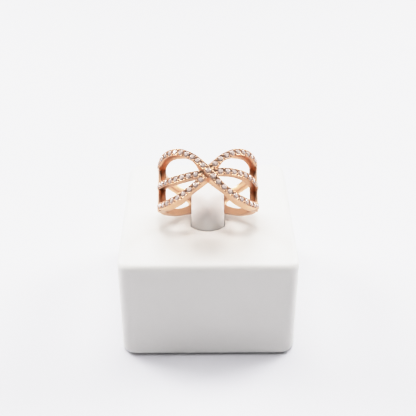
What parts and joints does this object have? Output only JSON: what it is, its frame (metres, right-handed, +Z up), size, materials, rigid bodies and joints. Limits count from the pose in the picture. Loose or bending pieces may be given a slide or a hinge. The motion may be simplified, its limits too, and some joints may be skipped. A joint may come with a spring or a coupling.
{
  "type": "bow ring on a white ring display block",
  "caption": "Finger ring shaped as a tied bow with crossing stone-set rails, held on a square white display block by its leaning tongue.",
  "frame": {"origin": "middle of the display block's base, on the surface it stands on", "axes": "+Z up, -Y towards the front, where the bow faces, +X to the right as seen from the front"},
  "size_m": [0.036, 0.04, 0.0428],
  "materials": {
    "white_leatherette": "smooth matte white leatherette over board",
    "rose_gold": "polished rose gold plating",
    "clear_stone": "polished colourless cut stone"
  },
  "bodies": {
    "root": {"display_block": "white_leatherette", "block_tongue": "white_leatherette", "ring_band": "rose_gold", "pave_stones": "clear_stone"}
  },
  "joints": []
}
